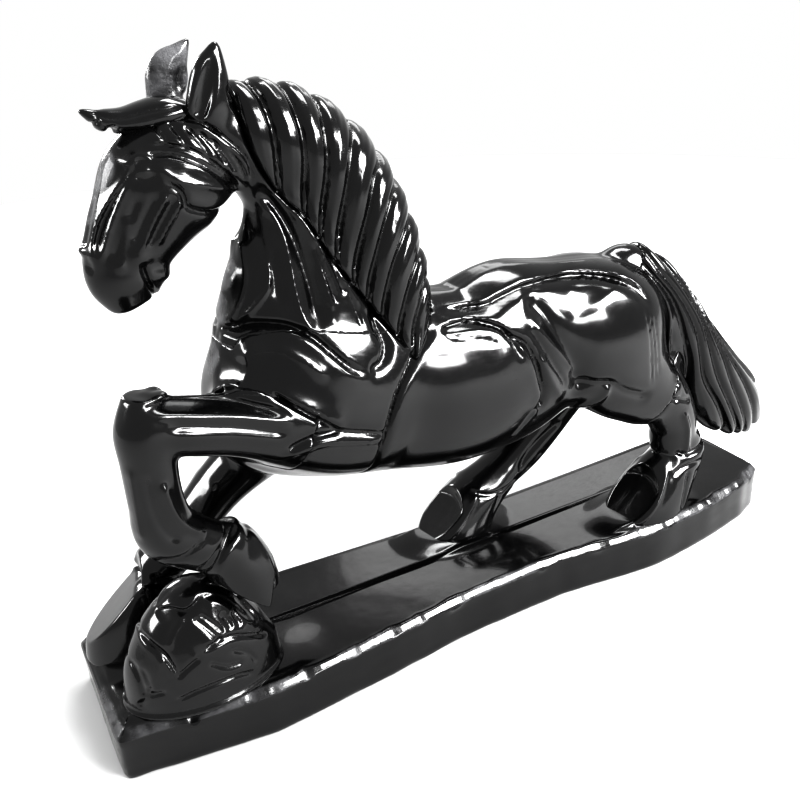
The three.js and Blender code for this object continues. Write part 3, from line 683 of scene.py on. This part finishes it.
def roughness(points):
    # 1 in the unpolished spots, fading to 0 at their rims
    share = np.zeros(len(points))
    for centre, radius in roughSpots:
        gap = np.linalg.norm(points - np.array(centre), axis=1) / radius
        share = np.maximum(share, 1 - smoothStep(gap, 0.75, 1.05))
    return share


def stonePiece(name, nodes, values, box):
    points, quads = surfaceOf(values, box)
    return addPiece(name, points, quads, nodes, -concavity(values, box, points), roughness(points))


def makeTrunk():
    box = cellBox(*boxes["trunk"])
    torso, limbs, whole = horseFields(box)
    soften(whole, 4)
    maneSolid = maneField(box, whole, torso, limbs["neck"])
    carveAll(whole, box)
    for name in limbs:
        whole = np.maximum(whole, -limbShare(name, torso, limbs, box) - figure["seam"])
    whole = np.maximum(whole, -maneSolid - figure["seam"])
    return stonePiece("trunkStone", ["trunk"], whole, box)


def makeNeckAndHead():
    box = cellBox(*boxes["neck"])
    torso, limbs, whole = horseFields(box)
    soften(whole, 5)
    maneSolid = maneField(box, whole, torso, limbs["neck"])
    head = addMass(emptyField(box), box, "head", 1)
    for ear in ("leftEar", "rightEar"):
        addSurface(head, box, loft(ears[ear]), 2)
    for hollow in ("leftHollow", "rightHollow"):
        head = np.maximum(head, -addSurface(emptyField(box), box, loft(ears[hollow]), 1))
    neck = np.minimum(limbs["neck"], head)
    limbs = {**limbs, "neck": neck}
    whole = melt(whole, soften(head, 2), 3)
    carveAll(whole, box)
    whole = np.maximum(whole, limbShare("neck", torso, limbs, box) - figure["seam"])
    whole = np.maximum(whole, -maneSolid - figure["seam"])
    return stonePiece("neckAndHeadStone", ["neck_and_head"], whole, box)


def makeMane():
    box = cellBox(*boxes["mane"])
    torso, limbs, whole = horseFields(box)
    soften(whole, 5)
    solid = maneField(box, whole, torso, limbs["neck"])
    return stonePiece("maneStone", ["mane"], soften(solid, 1), box)


def makeLimb(name, node, limb):
    box = cellBox(*boxes[limb])
    torso, limbs, whole = horseFields(box)
    soften(whole, 4)
    if limb == "tail":
        surface = loft(tail["loop"])
        addSurface(limbs["tail"], box, surface, 0.5)
        locks = lockHeight(box, tail["locks"], tail["rise"])
        whole = whole + tail["lift"] - locks * smoothStep(box["x"], *tail["start"])
        whole = addSurface(addSurface(whole, box, surface, 0.8), box, loft(tail["tie"]), 0.6)
    carveAll(whole, box)
    middle, strokes = legStrokes[limb]
    carve(whole, box, strokes, middle, edge=(-1, 3))
    whole = np.maximum(whole, limbShare(limb, torso, limbs, box) - figure["seam"])
    if boxes[limb][0][2] < 0:
        whole = np.maximum(whole, -box["z"] - figure["sunk"])
    return stonePiece(name, [node], soften(whole, 1), box)


def makeForelock():
    box = cellBox(*boxes["forelock"])
    values = addSurface(emptyField(box), box, loft(forelock["path"]), 1)
    soften(values, 2)
    carve(values, box, forelock["strokes"], -1, edge=(-2, 1))
    return stonePiece("forelockStone", ["forelock"], values, box)


def makeRock():
    box = cellBox(*boxes["rock"])
    values = addSurface(emptyField(box), box, loft(rock["path"]), 1)
    soften(values, 2)
    carve(values, box, rock["strokes"], rock["middle"], edge=(-1, 3))
    values -= rock["bead"] * np.exp(-((box["z"] - 1.2) / 1.1) ** 2)
    values = np.maximum(values, -box["z"] - figure["sunk"])
    return stonePiece("rockStone", ["rock_mound"], soften(values, 1), box)


slab = {
    "nearEdge": [[0, -31], [0.17, -39], [0.33, -36], [0.46, -33], [0.6, -33], [0.7, -38], [0.76, -40],
                 [0.85, -38], [0.94, -34], [1, -27]],
    "farEdge": [[1, 8], [0.97, 16], [0.93, 21], [0.74, 20], [0.48, 20], [0.26, 25], [0.08, 29], [0, 28]],
    "ends": (-153, 152),
    "thick": 20,
    "around": 900,
    "across": 26,
    "bevel": 2.2,
    "mounds": [  # risen ground round the hooves and the rock: x, y, half length, half width, height
        (-138, 13, 17, 15, 2.2), (-118, -19, 33, 21, 1.6), (3, 10, 21, 15, 2.6), (80, -24, 22, 15, 2.6)],
    "middle": -5,  # the line along which the rings over its top meet, and how far it stops from the ends
    "stop": 24,
    "face": 0.5,  # how far the side is drawn in, for its chiselled waves
    "side": [(0.6, 0), (0, 0.6), (0, 2), (0, 5), (0, 8), (0, 11), (0, 14), (0, 16.6)],  # inset, height
    "unpolished": 0.6,
}


def wave(x, y, seed, scale):
    # A smooth field of bumps, mostly from -1 to 1: a quarter of the sum of eight sine waves, whose
    # directions, lengths and starts are seeded
    random = np.random.default_rng(seed)
    total = 0
    for _ in range(8):
        angle, phase, stretch = random.uniform(0, 2 * np.pi, 2).tolist() + [random.uniform(0.6, 1.7)]
        total = total + np.sin((x * math.cos(angle) + y * math.sin(angle)) * stretch / scale + phase)
    return total / 4


def makeSlab():
    # Rings round the slab: ring k of outline point a lies at height z(k) and is drawn in by inset(k) towards
    # the slab's middle line, from the middle of the underside out to the side, up it, and in over the top
    start, end = slab["ends"]
    rows = np.array(slab["nearEdge"] + slab["farEdge"] + slab["nearEdge"][:1], float)
    rows[:, 0] = start + (end - start) * rows[:, 0]
    lengths = np.concatenate([[0], np.cumsum(np.linalg.norm(np.diff(rows, axis=0), axis=1))])
    at = np.linspace(0, lengths[-1], slab["around"], endpoint=False)
    outline = np.stack([np.interp(at, lengths, rows[:, i]) for i in range(2)], -1)
    for _ in range(24):  # rounds the corners
        outline = 0.5 * outline + 0.25 * (np.roll(outline, 1, 0) + np.roll(outline, -1, 0))
    outward = np.roll(outline, -1, 0) - np.roll(outline, 1, 0)
    outward = unit(np.stack([outward[:, 1], -outward[:, 0]], -1))
    middle = np.stack([np.clip(outline[:, 0], start + slab["stop"], end - slab["stop"]),
                       np.full(len(outline), float(slab["middle"]))], -1)
    top, bevel, face = slab["thick"], slab["bevel"], slab["face"]
    chip = np.maximum(wave(at, at * 0, 3, 5.0), 0) * 0.8 + np.maximum(wave(at, at * 0, 4, 1.7), 0) * 0.5
    chip *= smoothStep(-outline[:, 1], 10, 24)
    rings = [middle + (outline - middle) * share for share in (0.02, 0.35, 0.7)]
    heights = [np.zeros(len(at))] * 3
    broken = smoothStep(wave(at, at * 0, 9, 7.0), -0.3, 0.25) * smoothStep(-outline[:, 1], -4, 6)
    for inset, z in slab["side"]:
        chiselled = 0.3 * wave(at, z + at * 0, 5, 9.0) + 0.15 * wave(at, 3 * z + at * 0, 6, 3.0)
        rings.append(outline + outward * (-inset - face + chiselled)[:, None])
        heights.append(np.full(len(at), float(z)))
    for share in (0.0, 0.33, 0.67, 1.0):
        drop = (bevel + chip) * (1 - share)
        rings.append(outline - outward * (face + (bevel + chip) * share)[:, None])
        heights.append(top - drop - 0.35 * share * (1 - share))
    edge = rings[-1]
    for share in np.linspace(0, 1, slab["across"])[1:]:
        ring = edge + (middle - edge) * share * 0.97
        x, y = ring.T
        height = top - 0.25 + 0.25 * wave(x, y, 7, 24.0) + 0.08 * wave(x, y, 8, 6.0)
        for moundX, moundY, long, wide, rise in slab["mounds"]:
            gap = np.hypot((x - moundX) / long, (y - moundY) / wide)
            height = height + rise * (1 - smoothStep(gap, 0.75, 1.45)) * smoothStep(share, 0, 0.12)
        rings.append(ring)
        heights.append(height)
    grid = np.concatenate([np.stack(rings), np.stack(heights)[..., None]], -1)
    sides, count = slab["around"], len(rings)
    foot = [middle[:, 0].mean(), slab["middle"], 0]
    points = np.vstack([grid.reshape(-1, 3), [foot]]) - figure["offset"]
    rough = np.zeros((count, sides))
    firstBevel = 3 + len(slab["side"])
    rough[firstBevel:firstBevel + 4] = broken * slab["unpolished"]
    quads, fans = tubeFaces(count, sides)
    closing = list(range(count * sides - 1, (count - 1) * sides - 1, -1))  # where the last ring meets itself
    faces = quads.tolist() + fans[:sides].tolist() + [closing]
    return addPiece("baseSlabStone", points, faces, ["base_slab"], rough=np.append(rough, 0))


stonePieces = [
    makeSlab(),
    makeTrunk(),
    makeNeckAndHead(),
    makeMane(),
    makeForelock(),
    makeRock(),
    makeLimb("leftForelegStone", "left_foreleg", "leftForearm"),
    makeLimb("rightForelegStone", "right_foreleg", "rightForearm"),
    makeLimb("leftHindLegStone", "left_hind_leg", "leftThigh"),
    makeLimb("rightHindLegStone", "right_hind_leg", "rightThigh"),
    makeLimb("tailStone", "tail", "tail"),
]


class Wire:
    # One output of a shader tree. Arithmetic on it makes Math, Vector Math or Mix nodes, and node any other
    def __init__(self, tree, output=None):
        self.tree = tree
        self.output = output

    def join(self, value, target):
        if isinstance(value, Wire):
            self.tree.links.new(value.output, target)
        elif isinstance(value, (int, float)) and target.type in ("VECTOR", "RGBA"):
            target.default_value = (value,) * len(target.default_value)
        else:
            target.default_value = value

    def node(self, kind, inputs, output=0, **settings):
        made = self.tree.nodes.new("ShaderNode" + kind)
        for key, value in settings.items():
            setattr(made, key, value)
        for key, value in inputs.items():
            self.join(value, made.inputs[key])
        return Wire(self.tree, made.outputs[output])

    def math(self, operation, first, second):
        kinds = [side.output.type for side in (first, second) if isinstance(side, Wire)]
        if "RGBA" in kinds:
            return self.node("Mix", {0: 1.0, 6: first, 7: second}, 2, data_type="RGBA", blend_type=operation)
        kind = "VectorMath" if "VECTOR" in kinds else "Math"
        return self.node(kind, {0: first, 1: second}, operation=operation)

    def __add__(self, other):
        return self.math("ADD", self, other)

    def __radd__(self, other):
        return self.math("ADD", other, self)

    def __sub__(self, other):
        return self.math("SUBTRACT", self, other)

    def __rsub__(self, other):
        return self.math("SUBTRACT", other, self)

    def __mul__(self, other):
        return self.math("MULTIPLY", self, other)

    def __rmul__(self, other):
        return self.math("MULTIPLY", other, self)

    def ramp(self, low, high):
        # 0 below low, 1 above high, and straight between
        return self.node("MapRange", {"Value": self, "From Min": low, "From Max": high})

    def noise(self, scale, detail=4.0, rough=0.5):
        return self.node("TexNoise", {"Vector": self, "Scale": scale, "Detail": detail, "Roughness": rough})

    def mix(self, first, second):
        return self.node("Mix", {0: self, 6: first, 7: second}, 2, data_type="RGBA")

    def attribute(self, name):
        return self.node("Attribute", {}, "Fac", attribute_name=name)


def newMaterial(name):
    material = bpy.data.materials.new(name)
    material.use_nodes = True
    wire = Wire(material.node_tree)
    shader = material.node_tree.nodes["Principled BSDF"]
    return material, wire, wire.node("TexCoord", {}, "Object"), shader


stoneLook = {
    "black": (0.0030, 0.0030, 0.0033, 1),
    "grey": (0.0085, 0.0085, 0.009, 1),
    "worn": (0.13, 0.13, 0.135, 1),  # where it was left unpolished
    "roughness": 0.16,
    "coat": 0.5,
    "coatRoughness": 0.04,
    "index": 1.6,
}


def blackStone():
    # Polished black stone: faint grey clouds, brushed polishing marks in the gloss, softer gloss in
    # carved lines, and a dull grey where it was only roughed out
    material, wire, where, shader = newMaterial("blackStone")
    clouds = where.noise(55.0, 6.0, 0.6).ramp(0.42, 0.72)
    hollow = (wire.attribute("groove") * 1.2).ramp(0.0, 1.0)
    rough = wire.attribute("rough") * where.noise(160.0, 5.0).ramp(0.3, 0.62) * (1.0 - hollow * 0.9)
    bent = where.noise(18.0, 2.0)
    warped = where + bent.node("CombineXYZ", {"X": bent * 0.01, "Y": 0.0, "Z": bent * 0.02})
    brushed = (warped * (240.0, 2600.0, 1900.0)).noise(1.0, 3.0).ramp(0.45, 0.75)
    patches = where.noise(32.0, 4.0).ramp(0.45, 0.6)
    colour = (clouds * patches).mix(stoneLook["black"], stoneLook["grey"])
    wire.join(rough.mix(colour, stoneLook["worn"]), shader.inputs["Base Color"])
    gloss = brushed * patches * 0.1 + where.noise(420.0, 3.0).ramp(0.5, 0.8) * 0.05 + stoneLook["roughness"]
    wire.join(gloss + hollow * 0.08 + rough * 0.4, shader.inputs["Roughness"])
    chips = where.noise(700.0, 6.0, 0.65) * rough
    waves = where.noise(70.0, 2.0) * 0.14 + where.noise(190.0, 2.0) * 0.03 + where.noise(620.0, 2.0) * 0.004
    height = waves + brushed * patches * 0.004 + chips * 0.45
    bump = wire.node("Bump", {"Strength": 1.0, "Distance": 0.001, "Height": height})  # height in mm
    wire.join(bump, shader.inputs["Normal"])
    shader.inputs["IOR"].default_value = stoneLook["index"]
    shader.inputs["Coat Weight"].default_value = stoneLook["coat"]
    shader.inputs["Coat Roughness"].default_value = stoneLook["coatRoughness"]
    return material


def steel():
    # Brushed steel of the pins, the brush marks running round them
    material, wire, where, shader = newMaterial("steel")
    brushed = (where * (300.0, 300.0, 4000.0)).noise(1.0, 4.0)
    colour = brushed.mix((0.42, 0.42, 0.43, 1), (0.6, 0.6, 0.61, 1))
    wire.join(colour, shader.inputs["Base Color"])
    wire.join(brushed * 0.2 + 0.22, shader.inputs["Roughness"])
    bump = wire.node("Bump", {"Strength": 0.3, "Distance": 0.0002, "Height": brushed})
    wire.join(bump, shader.inputs["Normal"])
    shader.inputs["Metallic"].default_value = 1.0
    return material


stoneMaterial, steelMaterial = blackStone(), steel()
for piece in stonePieces:
    piece.data.materials.append(stoneMaterial)
for name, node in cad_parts.items():
    node.data.materials.clear()
    node.data.materials.append(steelMaterial if "pin" in name else stoneMaterial)
print("finishes made")

studio = {
    "floor": (0.55, 0.55, 0.55, 1),
    "backdrop": 1.0,
    "contrast": 0.55,
    "aim": 0.11,  # the height that the softboxes face
    "floorRadius": 0.9,
    "softboxes": {  # bearing from the back towards the tail, height angle, distance, width, height, radiance
        "right": (142, 33, 0.8, 0.5, 0.4, 27.0),
        "rightLow": (162, 14, 1.5, 0.4, 0.3, 18.0),
        "left": (-72, 24, 1.2, 0.6, 0.4, 15.0),
        "behind": (-16, 18, 1.4, 0.3, 0.35, 18.0),
        "overhead": (60, 66, 1.2, 0.8, 0.35, 12.0),
        "beyond": (36, 30, 1.3, 0.6, 0.35, 2.4),
    },
    "bearing": 28.4,  # of the camera's view, in degrees, with its tilt down and its roll
    "tilt": 26.2,
    "roll": -3.1,
    "lens": 40.5,  # mm on a 36 mm sensor
    "eye": (-0.169, -0.2675, 0.2431),
}


def makeCamera():
    a, e, r = (math.radians(studio[key]) for key in ("bearing", "tilt", "roll"))
    view = np.array([math.sin(a) * math.cos(e), math.cos(a) * math.cos(e), -math.sin(e)])
    right = np.array([math.cos(a), -math.sin(a), 0])
    up = np.cross(right, view)
    across = math.cos(r) * right + math.sin(r) * up
    upward = -math.sin(r) * right + math.cos(r) * up
    data = bpy.data.cameras.new("camera")
    data.lens = studio["lens"]
    camera = bpy.data.objects.new("camera", data)
    turn = Matrix(np.array([across, upward, -view]).T.tolist()).to_4x4()
    camera.matrix_world = Matrix.Translation(studio["eye"]) @ turn
    bpy.context.scene.collection.objects.link(camera)
    bpy.context.scene.camera = camera


def makeFloor():
    turns = np.linspace(0, 2 * math.pi, 64, endpoint=False)
    mesh = bpy.data.meshes.new("floor")
    radius = studio["floorRadius"]
    mesh.from_pydata([(radius * math.cos(t), radius * math.sin(t), 0) for t in turns], [], [tuple(range(64))])
    floor = bpy.data.objects.new("floor", mesh)
    bpy.context.scene.collection.objects.link(floor)
    material, wire, where, shader = newMaterial("paleFloor")
    shader.inputs["Base Color"].default_value = studio["floor"]
    shader.inputs["Roughness"].default_value = 0.9
    mesh.materials.append(material)


def makeSoftbox(name, bearing, height, away, wide, tall, radiance):
    # A rectangle that faces the horse; its power is radiance * pi * area
    a, e = math.radians(bearing), math.radians(height)
    data = bpy.data.lights.new(name, "AREA")
    data.shape = "RECTANGLE"
    data.size, data.size_y = wide, tall
    data.energy = radiance * math.pi * wide * tall
    light = bpy.data.objects.new(name, data)
    middle = Vector((0, 0, studio["aim"]))
    toLight = Vector((math.sin(a) * math.cos(e), math.cos(a) * math.cos(e), math.sin(e)))
    light.location = middle + away * toLight
    light.rotation_euler = (middle - light.location).to_track_quat("-Z", "Y").to_euler()
    bpy.context.scene.collection.objects.link(light)


makeCamera()
makeFloor()
for name, values in studio["softboxes"].items():
    makeSoftbox(name, *values)
world = bpy.data.worlds.new("studio")
world.use_nodes = True
world.node_tree.nodes["Background"].inputs["Color"].default_value = (1, 1, 1, 1)
world.node_tree.nodes["Background"].inputs["Strength"].default_value = studio["backdrop"]
bpy.context.scene.world = world
bpy.context.scene.view_settings.view_transform = "Standard"
bpy.context.scene.view_settings.gamma = studio["contrast"]
print("camera, floor and lights made")
